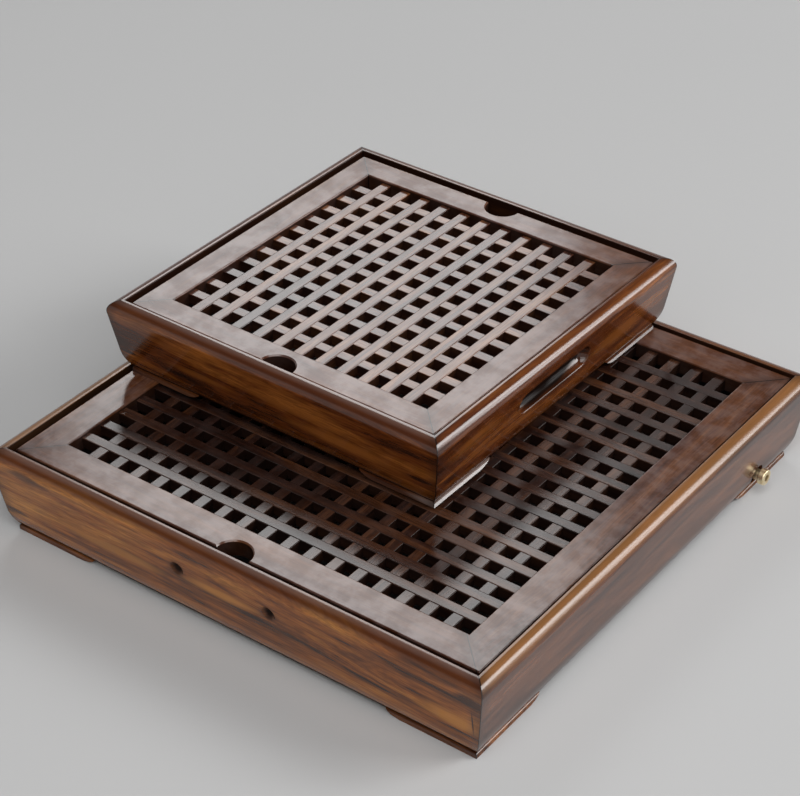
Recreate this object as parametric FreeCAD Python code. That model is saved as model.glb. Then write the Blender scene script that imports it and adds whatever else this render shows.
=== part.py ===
import FreeCAD, Part
import math
import os
from dataclasses import dataclass

# A gongfu tea table of two square drain trays, the small one standing on the large one.
# Lengths are millimetres, angles are degrees and +Z is up. The origin is on the floor, under
# the middle of the large tray. The front is -Y and the right is +X.
# Both trays are square, so each wall, rail and foot is drawn once at the front and turned to
# the other sides. "out" is how far a thing lies from its tray's middle, "up" is its height.

# Large tray
LARGE_WIDTH = 401.0
LARGE_HEIGHT = 68.5
LARGE_LEAN = 7.8
LARGE_RAIL_WIDTH = 24.6
LARGE_COLUMN_SHIFT = 1.4
LARGE_ROW_SHIFT = -1.4
LARGE_LID_RIGHT = 0.6
LARGE_LID_BACK = 1.7
LARGE_FOOT_ARM = 69.0

# Small tray
SMALL_WIDTH = 282.5
SMALL_HEIGHT = 58.8
SMALL_LEAN = 8.7
SMALL_RAIL_WIDTH = 20.7
SMALL_FOOT_ARM = 62.0
SMALL_COLUMN_SHIFT = -0.6
SMALL_ROW_SHIFT = 1.35
SMALL_LID_RIGHT = 0.6
SMALL_LID_BACK = -0.6

# Where the small tray stands on the large one, turned a little clockwise as seen from above
SMALL_TURN = -0.74
SMALL_FROM_LEFT_RIM = 4.1
SMALL_FROM_BACK_RIM = 0.4

# Walls of both trays: a round rim, a leaning face and a base that tucks in above the feet
RIM_WIDTH = 9.6
RIM_ROUND = 7.5
RIM_ARRIS = 0.8
SEAT_WIDTH = 6.6
TUCK_HEIGHT = 14.0
TUCK_TURN = 28.0

# Bottom panel, in a rebate under the walls
PANEL_THICKNESS = 3.0
PANEL_REBATE = 5.0

# Feet: L-shaped, with ends that rise like a runner
FOOT_HEIGHT = 4.3
FOOT_WIDTH = 14.0
FOOT_PROUD = 0.8
FOOT_EDGE_ROUND = 1.6
FOOT_END_RISE_LENGTH = 12.0

# Wood screws, two in each foot, driven up through the panel into the wall
SCREW_RADIUS = 1.25
SCREW_HEAD_RADIUS = 2.6
SCREW_LENGTH = 13.0
SCREW_TIP_LENGTH = 2.0
SCREW_TIP_RADIUS = 0.2
SCREW_SUNK = 0.3
SCREW_SLOT_WIDTH = 0.7
SCREW_SLOT_DEPTH = 0.7
SCREW_CLEARANCE = 0.05
SCREW_FROM_CORNER = 30.0

# Lid frame
LID_GAP = 2.6
LID_DROP = 2.2
LID_THICKNESS = 12.0
LID_ARRIS = 0.9
NOTCH_RADIUS = 13.0
NOTCH_ARRIS = 0.9

# Lattice of the lid
LATTICE_DROP = 2.7
LATTICE_PITCH = 18.12
BAR_WIDTH = 8.2
BAR_THICKNESS = 8.0
BAR_ARRIS = 0.7
CROSS_BAR_DROP = 0.3
TENON_LENGTH = 6.0
TENON_WIDTH = 5.0
TENON_HEIGHT = 4.0

# Water pan, under the lid
PAN_CLEARANCE = 1.5
PAN_WALL = 1.5
PAN_FLOOR = 1.2
PAN_CORNER_RADIUS = 8.0
PAN_COVE = 0.9
PAN_UNDER_SEAT = 8.0
PAN_LIP_WIDTH = 1.0
PAN_LIP_HEIGHT = 2.0

# Finger recess in the left and right walls of the small tray
RECESS_LENGTH = 82.5
RECESS_HEIGHT = 16.0
RECESS_DEPTH = 7.8
RECESS_LIP_ROUND = 1.0
RECESS_OFF_MIDDLE = -6.2
RECESS_UP = 34.3

# Two shallow round hollows in the front wall of the large tray
HOLLOW_FROM_MIDDLE = 37.5
HOLLOW_UP = 43.3
HOLLOW_RADIUS = 5.2
HOLLOW_DEPTH = 2.2

# Drain in the right wall of the large tray
DRAIN_FROM_BACK = 60.0
DRAIN_UP = 15.5
DRAIN_HOLE_RADIUS = 7.0
NOZZLE_BORE_RADIUS = 2.5
NOZZLE_STEM_RADIUS = 4.0
NOZZLE_REACH = 7.8
NOZZLE_HEAD_RADIUS = 5.75
NOZZLE_HEAD_LENGTH = 5.0
NOZZLE_HEAD_ARRIS = 0.8
NOZZLE_FLANGE_RADIUS = 6.0
NOZZLE_FLANGE_THICKNESS = 1.2
NOZZLE_PAST_NUT = 1.0
NUT_ACROSS_FLATS = 10.5
NUT_THICKNESS = 3.5
WASHER_RADIUS = 5.8
WASHER_THICKNESS = 1.5
DRAIN_FIT = 0.05

# How far a cutter runs past what it cuts
OVERRUN = 5.0

# How near two points lie that count as touching
TOUCH = 0.01

QUARTER_TURN = 90.0
FULL_TURN = 360.0
HALF_RIGHT_ANGLE = math.radians(45.0)
HEX_SIDES = 6
SIDES = ("front", "right", "back", "left")
CORNERS = ("front_left", "front_right", "back_right", "back_left")
UPRIGHT = FreeCAD.Vector(0, 0, 1)
OUTWARDS = FreeCAD.Vector(0, -1, 0)


@dataclass(frozen=True)
class Tray:
    """One tray's own sizes, and the lines that its pieces are set out from."""

    name: str
    width: float
    height: float
    lean_degrees: float
    rail_width: float
    foot_arm: float
    column_shift: float
    row_shift: float
    lid_right: float
    lid_back: float
    long_bar_turns: int

    @property
    def half(self):
        """Middle to the widest point of the rim."""
        return self.width / 2

    @property
    def lean(self):
        """Lean of the walls, in radians."""
        return math.radians(self.lean_degrees)

    @property
    def rim_inner(self):
        """Middle to the rim's inner face."""
        return self.half - RIM_WIDTH

    @property
    def lid_half(self):
        """Middle to the lid's outer edge."""
        return self.rim_inner - LID_GAP

    @property
    def opening_half(self):
        """Middle to the inner edge of the lid frame, where the lattice starts."""
        return self.lid_half - self.rail_width

    @property
    def inner_half(self):
        """Middle to the inner face of the walls, under the lid seat."""
        return self.lid_half - SEAT_WIDTH

    @property
    def panel_half(self):
        """Middle to the edge of the bottom panel."""
        return self.inner_half + PANEL_REBATE

    @property
    def pan_half(self):
        """Middle to the outer face of the water pan."""
        return self.inner_half - PAN_CLEARANCE

    @property
    def lid_top(self):
        """Height of the lid frame's top."""
        return self.height - LID_DROP

    @property
    def seat_up(self):
        """Height of the seat that carries the lid."""
        return self.lid_top - LID_THICKNESS

    @property
    def lattice_top(self):
        """Height of the long bars' top."""
        return self.lid_top - LATTICE_DROP

    @property
    def panel_top(self):
        """Height of the bottom panel's top."""
        return FOOT_HEIGHT + PANEL_THICKNESS

    @property
    def pan_top(self):
        """Height of the water pan's rim."""
        return self.seat_up - PAN_UNDER_SEAT

    @property
    def round_centre(self):
        """Out and up of the centre of the rim's round edge."""
        return self.half - RIM_ROUND, self.height - RIM_ROUND

    @property
    def face_top(self):
        """Out and up of the top of the leaning face."""
        out, up = self.round_centre
        return out + RIM_ROUND * math.cos(self.lean), up - RIM_ROUND * math.sin(self.lean)

    @property
    def tuck_top(self):
        """Height where the leaning face starts to tuck in."""
        return FOOT_HEIGHT + TUCK_HEIGHT

    def face_out(self, up):
        """How far out the wall's outer face is, at a height below the rim's round edge."""
        top_out, top_up = self.face_top
        leaning_out = top_out - (top_up - max(up, self.tuck_top)) * math.tan(self.lean)
        below_tuck_top = max(self.tuck_top - up, 0)
        full_turn = self.lean + math.radians(TUCK_TURN)
        tuck_radius = TUCK_HEIGHT / (math.sin(full_turn) - math.sin(self.lean))
        tilt = math.asin(math.sin(self.lean) + below_tuck_top / tuck_radius)
        return leaning_out - tuck_radius * (math.cos(self.lean) - math.cos(tilt))

    @property
    def foot_half(self):
        """Middle to the outer faces of the feet."""
        return self.face_out(FOOT_HEIGHT) + FOOT_PROUD

    @property
    def bar_places(self):
        """Places of as many bars as leave at least a whole gap beside the first and last."""
        gap = LATTICE_PITCH - BAR_WIDTH
        count = math.floor((2 * self.opening_half - gap) / LATTICE_PITCH)
        return [(index - (count - 1) / 2) * LATTICE_PITCH for index in range(count)]

    @property
    def rows(self):
        """Y of the bars along X, which may stand off the opening's middle."""
        return [place + self.row_shift for place in self.bar_places]

    @property
    def columns(self):
        """X of the bars along Y, which may stand off the opening's middle."""
        return [place + self.column_shift for place in self.bar_places]

    @property
    def screw_places(self):
        """X and Y of the foot screws, the front left corner's two first."""
        across = self.inner_half + PANEL_REBATE / 2
        along = self.foot_half - SCREW_FROM_CORNER
        pair = (FreeCAD.Vector(-along, -across, 0), FreeCAD.Vector(-across, -along, 0))
        turns = [FreeCAD.Rotation(UPRIGHT, QUARTER_TURN * step) for step in range(len(CORNERS))]
        return [turn.multVec(place) for turn in turns for place in pair]


LARGE = Tray(
    "large", LARGE_WIDTH, LARGE_HEIGHT, LARGE_LEAN, LARGE_RAIL_WIDTH, LARGE_FOOT_ARM,
    LARGE_COLUMN_SHIFT, LARGE_ROW_SHIFT, LARGE_LID_RIGHT, LARGE_LID_BACK, 0,
)
SMALL = Tray(
    "small", SMALL_WIDTH, SMALL_HEIGHT, SMALL_LEAN, SMALL_RAIL_WIDTH, SMALL_FOOT_ARM,
    SMALL_COLUMN_SHIFT, SMALL_ROW_SHIFT, SMALL_LID_RIGHT, SMALL_LID_BACK, 1,
)


def section_point(out, up):
    """A point of a cross-section through the front side, on the plane X = 0."""
    return FreeCAD.Vector(0, -out, up)


def straight(start, end):
    """A straight edge."""
    return Part.LineSegment(start, end).toShape()


def bend(start, via, end):
    """An arc through three points."""
    return Part.Arc(start, via, end).toShape()


def face_from(edges):
    """The flat face inside a closed chain of edges."""
    return Part.Face(Part.Wire(edges))


def polygon_face(points):
    """The flat face inside a closed polygon."""
    return Part.Face(Part.makePolygon(list(points) + [points[0]]))


def block(x_span, y_span, z_span):
    """A box between pairs of coordinates."""
    corner = FreeCAD.Vector(x_span[0], y_span[0], z_span[0])
    sizes = [span[1] - span[0] for span in (x_span, y_span, z_span)]
    return Part.makeBox(*sizes, corner)


def turned(shape, steps):
    """The shape turned about the tray's middle by quarter turns, front to right first."""
    return shape.rotated(FreeCAD.Vector(), UPRIGHT, QUARTER_TURN * steps)


def mitred(section, tray):
    """A front cross-section run from corner to corner, with both ends mitred."""
    reach = tray.half + OVERRUN
    start = section.translated(FreeCAD.Vector(-reach, 0, 0))
    run = start.extrude(FreeCAD.Vector(2 * reach, 0, 0))
    corners = (
        FreeCAD.Vector(),
        FreeCAD.Vector(-reach, -reach, 0),
        FreeCAD.Vector(reach, -reach, 0),
    )
    wedge = polygon_face(corners).extrude(FreeCAD.Vector(0, 0, tray.height + OVERRUN))
    return run.common(wedge)


def rounded_corner(out, up, radius, toward):
    """A quarter arc about a centre, from the top round to the side that `toward` points at."""
    slant = radius * math.cos(HALF_RIGHT_ANGLE)
    top = section_point(out, up + radius)
    middle = section_point(out + toward * slant, up + slant)
    side = section_point(out + toward * radius, up)
    return top, middle, side


def wall_blank(tray):
    """The front wall before its own cuts: tucked base, leaning face, round rim and lid seat."""
    inner, rim_inner = tray.inner_half, tray.rim_inner
    round_out, round_up = tray.round_centre
    base_inner = section_point(inner, FOOT_HEIGHT)
    base_outer = section_point(tray.face_out(FOOT_HEIGHT), FOOT_HEIGHT)
    tuck_middle_up = FOOT_HEIGHT + TUCK_HEIGHT / 2
    tuck_middle = section_point(tray.face_out(tuck_middle_up), tuck_middle_up)
    tuck_end = section_point(tray.face_out(tray.tuck_top), tray.tuck_top)
    face_end = section_point(*tray.face_top)
    rim = rounded_corner(round_out, round_up, RIM_ROUND, 1)
    arris = rounded_corner(rim_inner + RIM_ARRIS, tray.height - RIM_ARRIS, RIM_ARRIS, -1)
    seat_outer = section_point(rim_inner, tray.seat_up)
    seat_inner = section_point(inner, tray.seat_up)
    edges = [
        straight(base_inner, base_outer),
        bend(base_outer, tuck_middle, tuck_end),
        straight(tuck_end, face_end),
        bend(face_end, rim[1], rim[0]),
        straight(rim[0], arris[0]),
        bend(*arris),
        straight(arris[2], seat_outer),
        straight(seat_outer, seat_inner),
        straight(seat_inner, base_inner),
    ]
    return mitred(face_from(edges), tray)


def panel_blank(tray):
    """The bottom panel before its screw holes, which is also the room that the walls leave."""
    span = (-tray.panel_half, tray.panel_half)
    return block(span, span, (FOOT_HEIGHT, tray.panel_top))


def screw_body(grown):
    """A countersunk screw about the Z axis, grown all round where it makes its own hole."""
    cone_end = SCREW_SUNK + SCREW_HEAD_RADIUS - SCREW_RADIUS
    tip_end = SCREW_SUNK + SCREW_LENGTH
    points = [
        section_point(0, SCREW_SUNK),
        section_point(SCREW_HEAD_RADIUS + grown, SCREW_SUNK),
        section_point(SCREW_RADIUS + grown, cone_end),
        section_point(SCREW_RADIUS + grown, tip_end - SCREW_TIP_LENGTH),
        section_point(SCREW_TIP_RADIUS + grown, tip_end + grown),
        section_point(0, tip_end + grown),
    ]
    return polygon_face(points).revolve(FreeCAD.Vector(), UPRIGHT, FULL_TURN)


def foot_screws(tray):
    """All eight foot screws of a tray, each with a driver slot in its head."""
    slot = block(
        (-SCREW_HEAD_RADIUS, SCREW_HEAD_RADIUS),
        (-SCREW_SLOT_WIDTH / 2, SCREW_SLOT_WIDTH / 2),
        (-OVERRUN, SCREW_SUNK + SCREW_SLOT_DEPTH),
    )
    screw = screw_body(0).cut(slot)
    return Part.makeCompound([screw.translated(place) for place in tray.screw_places])


def screw_holes(tray):
    """The room that the foot screws need in the feet, the panel and the walls."""
    mouth_from = FreeCAD.Vector(0, 0, -OVERRUN)
    mouth = Part.makeCylinder(SCREW_HEAD_RADIUS + SCREW_CLEARANCE, OVERRUN + SCREW_SUNK, mouth_from)
    hole = screw_body(SCREW_CLEARANCE).fuse(mouth)
    return Part.makeCompound([hole.translated(place) for place in tray.screw_places])


def finger_recess(tray):
    """The cutter of a long scooped recess with round ends, in the leaning face of the front wall."""
    radius = ball_radius(RECESS_HEIGHT / 2, RECESS_DEPTH)
    reach = (RECESS_LENGTH - RECESS_HEIGHT) / 2
    slant = radius * math.cos(HALF_RIGHT_ANGLE)
    outline = face_from([
        bend(
            FreeCAD.Vector(-reach - radius, 0, 0),
            FreeCAD.Vector(-reach - slant, -slant, 0),
            FreeCAD.Vector(-reach, -radius, 0),
        ),
        straight(FreeCAD.Vector(-reach, -radius, 0), FreeCAD.Vector(reach, -radius, 0)),
        bend(
            FreeCAD.Vector(reach, -radius, 0),
            FreeCAD.Vector(reach + slant, -slant, 0),
            FreeCAD.Vector(reach + radius, 0, 0),
        ),
        straight(FreeCAD.Vector(reach + radius, 0, 0), FreeCAD.Vector(-reach - radius, 0, 0)),
    ])
    scoop = outline.revolve(FreeCAD.Vector(), FreeCAD.Vector(1, 0, 0), FULL_TURN)
    middle = off_face(tray, RECESS_UP, radius - RECESS_DEPTH)
    return scoop.translated(middle + FreeCAD.Vector(RECESS_OFF_MIDDLE, 0, 0))


def ball_radius(mouth_radius, depth):
    """Radius of the ball that cuts a hollow of this mouth and depth in a flat face."""
    return (mouth_radius**2 + depth**2) / (2 * depth)


def off_face(tray, up, distance):
    """The point on X = 0 that lies a distance off the front wall's leaning face."""
    out = tray.face_out(up) + distance * math.cos(tray.lean)
    return section_point(out, up - distance * math.sin(tray.lean))


def round_hollows(tray):
    """The two balls that cut the round hollows in the front wall."""
    radius = ball_radius(HOLLOW_RADIUS, HOLLOW_DEPTH)
    middle = off_face(tray, HOLLOW_UP, radius - HOLLOW_DEPTH)
    balls = [
        Part.makeSphere(radius, middle + FreeCAD.Vector(place, 0, 0))
        for place in (-HOLLOW_FROM_MIDDLE, HOLLOW_FROM_MIDDLE)
    ]
    return Part.makeCompound(balls)


def with_finger_recess(wall, tray):
    """The front wall with a finger recess whose lip is rounded over."""
    cutter = finger_recess(tray)
    hollowed = wall.cut(cutter)
    mouth = []
    for edge in hollowed.Edges:
        middle = edge.valueAt((edge.FirstParameter + edge.LastParameter) / 2)
        on_face = abs(-middle.y - tray.face_out(middle.z)) < TOUCH
        if on_face and cutter.distToShape(Part.Vertex(middle))[0] < TOUCH:
            mouth.append(edge)
    return hollowed.makeFillet(RECESS_LIP_ROUND, mouth)


def foot(tray):
    """The front left foot: two arms that meet in a mitre, each ending in a rising runner."""
    outer = tray.foot_half
    inner = outer - FOOT_WIDTH
    arris = rounded_corner(outer - FOOT_EDGE_ROUND, FOOT_HEIGHT - FOOT_EDGE_ROUND, FOOT_EDGE_ROUND, 1)
    section = face_from([
        straight(section_point(inner, 0), section_point(inner, FOOT_HEIGHT)),
        straight(section_point(inner, FOOT_HEIGHT), arris[0]),
        bend(*arris),
        straight(arris[2], section_point(outer, 0)),
        straight(section_point(outer, 0), section_point(inner, 0)),
    ])
    end = tray.foot_arm - outer
    rise_start = end - FOOT_END_RISE_LENGTH
    rise_radius = (FOOT_END_RISE_LENGTH**2 + FOOT_HEIGHT**2) / (2 * FOOT_HEIGHT)
    half_way = FOOT_END_RISE_LENGTH / 2
    half_way_up = rise_radius - math.sqrt(rise_radius**2 - half_way**2)
    floor_start = FreeCAD.Vector(-outer - OVERRUN, 0, 0)
    floor_end = FreeCAD.Vector(rise_start, 0, 0)
    rise_middle = FreeCAD.Vector(rise_start + half_way, 0, half_way_up)
    rise_end = FreeCAD.Vector(end, 0, FOOT_HEIGHT)
    top_start = FreeCAD.Vector(-outer - OVERRUN, 0, FOOT_HEIGHT)
    runner = face_from([
        straight(floor_start, floor_end),
        bend(floor_end, rise_middle, rise_end),
        straight(rise_end, top_start),
        straight(top_start, floor_start),
    ]).extrude(OUTWARDS * (outer + OVERRUN))
    front_arm = mitred(section, tray).common(runner)
    diagonal = FreeCAD.Vector(1, -1, 0)
    side_arm = front_arm.mirror(FreeCAD.Vector(), diagonal)
    return front_arm.fuse(side_arm).removeSplitter()


def rounded_block(half, radius, low, high):
    """An upright square block with round corners."""
    span = (-half, half)
    square = block(span, span, (low, high))
    uprights = [edge for edge in square.Edges if edge.BoundBox.ZLength > edge.BoundBox.XLength
                and edge.BoundBox.ZLength > edge.BoundBox.YLength]
    return square.makeFillet(radius, uprights)


def water_pan(tray):
    """The pan under the lid: thin walls, round corners, a coved floor and a thicker rim."""
    low, high = tray.panel_top, tray.pan_top
    floor = low + PAN_FLOOR
    shell = rounded_block(tray.pan_half, PAN_CORNER_RADIUS, low, high)
    lip = rounded_block(
        tray.pan_half + PAN_LIP_WIDTH,
        PAN_CORNER_RADIUS + PAN_LIP_WIDTH,
        high - PAN_LIP_HEIGHT,
        high,
    )
    inside = rounded_block(
        tray.pan_half - PAN_WALL, PAN_CORNER_RADIUS - PAN_WALL, floor, high + OVERRUN
    )
    bottom = [edge for edge in inside.Edges if edge.BoundBox.ZMax < floor + PAN_COVE]
    return shell.fuse(lip).cut(inside.makeFillet(PAN_COVE, bottom))


def drain_bar(radius, start, end):
    """A round bar on the drain's axis, from `start` to `end` out from the middle."""
    along = LARGE.half - DRAIN_FROM_BACK
    base = FreeCAD.Vector(along, -start, DRAIN_UP)
    return Part.makeCylinder(radius, end - start, base, OUTWARDS)


def drain_nozzle():
    """The drain's brass pipe: a stem through pan and wall, a flange on the pan, a round head."""
    pan_inside = LARGE.pan_half - PAN_WALL
    start = pan_inside - WASHER_THICKNESS - NUT_THICKNESS - NOZZLE_PAST_NUT
    tip = LARGE.face_out(DRAIN_UP) + NOZZLE_REACH
    stem = drain_bar(NOZZLE_STEM_RADIUS, start, tip)
    flange = drain_bar(
        NOZZLE_FLANGE_RADIUS, LARGE.pan_half, LARGE.pan_half + NOZZLE_FLANGE_THICKNESS
    )
    head = drain_bar(NOZZLE_HEAD_RADIUS, tip - NOZZLE_HEAD_LENGTH, tip)
    rims = [edge for edge in head.Edges if edge.Closed]
    head = head.makeFillet(NOZZLE_HEAD_ARRIS, rims)
    bore = drain_bar(NOZZLE_BORE_RADIUS, start - OVERRUN, tip + OVERRUN)
    return stem.fuse([flange, head]).cut(bore)


def drain_washer():
    """The rubber washer between the pan's inside and the nut."""
    pan_inside = LARGE.pan_half - PAN_WALL
    ring = drain_bar(WASHER_RADIUS, pan_inside - WASHER_THICKNESS, pan_inside)
    return ring.cut(stem_hole())


def drain_nut():
    """The hexagonal nut that clamps the nozzle to the pan."""
    outer = LARGE.pan_half - PAN_WALL - WASHER_THICKNESS
    along = LARGE.half - DRAIN_FROM_BACK
    corner = NUT_ACROSS_FLATS / 2 / math.cos(math.pi / HEX_SIDES)
    points = []
    for index in range(HEX_SIDES):
        angle = 2 * math.pi * index / HEX_SIDES
        x, z = along + corner * math.cos(angle), DRAIN_UP + corner * math.sin(angle)
        points.append(FreeCAD.Vector(x, -outer, z))
    hexagon = polygon_face(points).extrude(FreeCAD.Vector(0, NUT_THICKNESS, 0))
    return hexagon.cut(stem_hole())


def stem_hole():
    """The hole that the nozzle's stem needs in the pan, the washer and the nut."""
    return drain_bar(NOZZLE_STEM_RADIUS + DRAIN_FIT, 0, LARGE.pan_half + OVERRUN)


def drain_hole():
    """The wide hole in the wall that the nozzle comes out of."""
    return drain_bar(DRAIN_HOLE_RADIUS, LARGE.pan_half, LARGE.half + OVERRUN)


def tenon_span(tray):
    """Heights between which the tenons of the bars lie."""
    middle = tray.lattice_top - BAR_THICKNESS / 2
    return middle - TENON_HEIGHT / 2, middle + TENON_HEIGHT / 2


def mortises(tray):
    """The room that the bars' tenons need in the lid frame."""
    near, far = tray.opening_half - OVERRUN, tray.opening_half + TENON_LENGTH
    half = TENON_WIDTH / 2
    heights = tenon_span(tray)
    room = []
    for depth in ((-far, -near), (near, far)):
        for row in tray.rows:
            room.append(block(depth, (row - half, row + half), heights))
        for column in tray.columns:
            room.append(block((column - half, column + half), depth, heights))
    return Part.makeCompound(room)


def lid_rail(tray):
    """The front rail of the lid frame before its mortises, with eased top edges."""
    outer, inner = tray.lid_half, tray.opening_half
    outer_arris = rounded_corner(outer - LID_ARRIS, tray.lid_top - LID_ARRIS, LID_ARRIS, 1)
    inner_arris = rounded_corner(inner + LID_ARRIS, tray.lid_top - LID_ARRIS, LID_ARRIS, -1)
    section = face_from([
        straight(section_point(inner, tray.seat_up), section_point(outer, tray.seat_up)),
        straight(section_point(outer, tray.seat_up), outer_arris[2]),
        bend(*outer_arris),
        straight(outer_arris[0], inner_arris[0]),
        bend(*inner_arris),
        straight(inner_arris[2], section_point(inner, tray.seat_up)),
    ])
    return mitred(section, tray)


def finger_notch(tray):
    """The cutter of the half-round notch in the lid's front rail, with its eased top edge."""
    centre = FreeCAD.Vector(0, -tray.lid_half, tray.seat_up - OVERRUN)
    hole = Part.makeCylinder(NOTCH_RADIUS, LID_THICKNESS + 2 * OVERRUN, centre)
    ease_from = FreeCAD.Vector(0, -tray.lid_half, tray.lid_top - NOTCH_ARRIS)
    ease = Part.makeCone(
        NOTCH_RADIUS, NOTCH_RADIUS + NOTCH_ARRIS + OVERRUN, NOTCH_ARRIS + OVERRUN, ease_from
    )
    return hole.fuse(ease)


def lattice_bar(tray, top, lap_places, lap_span):
    """A bar along X through the middle, with a tenon at each end and a lap at every crossing."""
    low = tray.lattice_top - BAR_THICKNESS
    half = BAR_WIDTH / 2
    right = rounded_corner(half - BAR_ARRIS, top - BAR_ARRIS, BAR_ARRIS, 1)
    left = rounded_corner(BAR_ARRIS - half, top - BAR_ARRIS, BAR_ARRIS, -1)
    section = face_from([
        straight(section_point(-half, low), section_point(half, low)),
        straight(section_point(half, low), right[2]),
        bend(*right),
        straight(right[0], left[0]),
        bend(*left),
        straight(left[2], section_point(-half, low)),
    ])
    reach = tray.opening_half
    start = section.translated(FreeCAD.Vector(-reach, 0, 0))
    body = start.extrude(FreeCAD.Vector(2 * reach, 0, 0))
    laps = [
        block((place - half, place + half), (-BAR_WIDTH, BAR_WIDTH), lap_span)
        for place in lap_places
    ]
    tenon = block(
        (-reach - TENON_LENGTH, reach + TENON_LENGTH),
        (-TENON_WIDTH / 2, TENON_WIDTH / 2),
        tenon_span(tray),
    )
    ends = tenon.cut(block((-reach, reach), (-BAR_WIDTH, BAR_WIDTH), tenon_span(tray)))
    return body.cut(Part.makeCompound(laps)).fuse(ends.Solids)


def bar_layer(tray, turns, top, lap_span):
    """Every bar of one layer of the lattice: along X with no turn, along Y with one."""
    if turns:
        places, crossings = [-column for column in tray.columns], tray.rows
    else:
        places, crossings = tray.rows, tray.columns
    bar = lattice_bar(tray, top, crossings, lap_span)
    bars = [turned(bar.translated(FreeCAD.Vector(0, place, 0)), turns) for place in places]
    return Part.makeCompound(bars)


def lattice(tray):
    """The lid's bars by name: long bars whose tops run through, and cross bars lapped under."""
    lap_up = tray.lattice_top - BAR_THICKNESS / 2
    cross_top = tray.lattice_top - CROSS_BAR_DROP
    under, over = (lap_up - BAR_THICKNESS, lap_up), (lap_up, lap_up + BAR_THICKNESS)
    turns = tray.long_bar_turns
    return {
        "lid_long_bars": bar_layer(tray, turns, tray.lattice_top, under),
        "lid_cross_bars": bar_layer(tray, 1 - turns, cross_top, over),
    }


def walls(tray):
    """The four walls by name, with the recesses, the round hollows and the drain's hole."""
    blank = wall_blank(tray)
    holes = screw_holes(tray)
    recessed = with_finger_recess(blank, tray) if tray is SMALL else blank
    parts = {}
    for steps, side in enumerate(SIDES):
        wall = recessed if side in ("left", "right") else blank
        if tray is LARGE and side == "right":
            wall = wall.cut(drain_hole())
        if tray is LARGE and side == "front":
            wall = wall.cut(round_hollows(tray))
        wall = turned(wall, steps).cut(panel_blank(tray))
        parts[side + "_wall"] = wall.cut(holes)
    return parts


def feet(tray):
    """The four corner feet by name."""
    front_left = foot(tray)
    holes = screw_holes(tray)
    parts = {}
    for steps, corner in enumerate(CORNERS):
        parts[corner + "_foot"] = turned(front_left, steps).cut(holes)
    return parts


def lid(tray):
    """The lid's rails and bars by name, as the lid lies in its seat."""
    plain = lid_rail(tray)
    notched = plain.cut(finger_notch(tray))
    tenon_room = mortises(tray)
    parts = {}
    for steps, side in enumerate(SIDES):
        rail = notched if side in ("front", "back") else plain
        parts["lid_" + side + "_rail"] = turned(rail, steps).cut(tenon_room)
    parts |= lattice(tray)
    place = FreeCAD.Vector(tray.lid_right, tray.lid_back, 0)
    return {name: part.translated(place) for name, part in parts.items()}


def drain():
    """The drain's pieces by name, turned from the front to the right side."""
    steps = SIDES.index("right")
    return {
        "drain_nozzle": turned(drain_nozzle(), steps),
        "drain_nut": turned(drain_nut(), steps),
        "drain_washer": turned(drain_washer(), steps),
    }


def tray_parts(tray):
    """Every piece of one tray by name, with the tray's middle on the Z axis."""
    pan = water_pan(tray)
    if tray is LARGE:
        pan = pan.cut(turned(stem_hole(), SIDES.index("right")))
    parts = walls(tray) | feet(tray) | lid(tray)
    parts["bottom_panel"] = panel_blank(tray).cut(screw_holes(tray))
    parts["foot_screws"] = foot_screws(tray)
    parts["water_pan"] = pan
    return parts | drain() if tray is LARGE else parts


def small_tray_placement():
    """Where the small tray stands: in the large tray's back left corner, on its lid."""
    turn = math.radians(SMALL_TURN)
    foot_reach = SMALL.foot_half * (math.cos(turn) + abs(math.sin(turn)))
    left = foot_reach + SMALL_FROM_LEFT_RIM - LARGE.rim_inner
    back = LARGE.rim_inner - SMALL_FROM_BACK_RIM - foot_reach
    place = FreeCAD.Vector(left, back, LARGE.lid_top)
    return FreeCAD.Placement(place, FreeCAD.Rotation(UPRIGHT, SMALL_TURN))


def main():
    """Build both trays, stand the small one on the large one and export every piece."""
    os.makedirs("parts", exist_ok=True)
    for tray, stand in ((LARGE, FreeCAD.Placement()), (SMALL, small_tray_placement())):
        for name, shape in tray_parts(tray).items():
            shape.Placement = stand.multiply(shape.Placement)
            shape.exportStep("parts/" + tray.name + "_" + name + ".step")


main()
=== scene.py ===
"""A gongfu tea table of two lacquered drain trays: its finishes, its studio and its camera.

Lengths are metres in the row frame: +Z is up, the front is -Y and the right is +X. The sizes of
the marks, the trays and the lids are millimetres, as their docstrings say. "Along" is the way the
grain of a piece runs, and "across" is level and square to it.
"""

from __future__ import annotations

import logging
import math
from abc import ABC, abstractmethod
from dataclasses import dataclass
from enum import Enum

import bpy
from mathutils import Matrix, Vector

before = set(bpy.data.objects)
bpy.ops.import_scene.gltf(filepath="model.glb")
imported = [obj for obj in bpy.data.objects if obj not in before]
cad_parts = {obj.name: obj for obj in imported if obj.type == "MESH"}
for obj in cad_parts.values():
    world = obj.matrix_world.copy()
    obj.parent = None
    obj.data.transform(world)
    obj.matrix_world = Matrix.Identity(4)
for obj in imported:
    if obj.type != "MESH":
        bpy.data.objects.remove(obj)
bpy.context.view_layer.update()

log = logging.getLogger("tea_table")

MM = 0.001
SMALL_TRAY_AT = (-53.885 * MM, 57.585 * MM, 66.3 * MM)
SMALL_TRAY_TURN = math.radians(-0.74)
LATTICE_PITCH = 18.12 * MM
ON_ONE_SIDE = 50.0 * MM

Colour = tuple[float, float, float]
Socket = bpy.types.NodeSocket
Value = float | Socket
Paint = Colour | Socket

# Near black: the stain of glue lines and knots, and also painted shade in hollows, in the
# lattice's holes and on the trays' inner faces.
STAIN_AND_PAINTED_SHADE = (0.008, 0.004, 0.003)
STAINED_RIM = (0.068, 0.018, 0.006)
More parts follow.
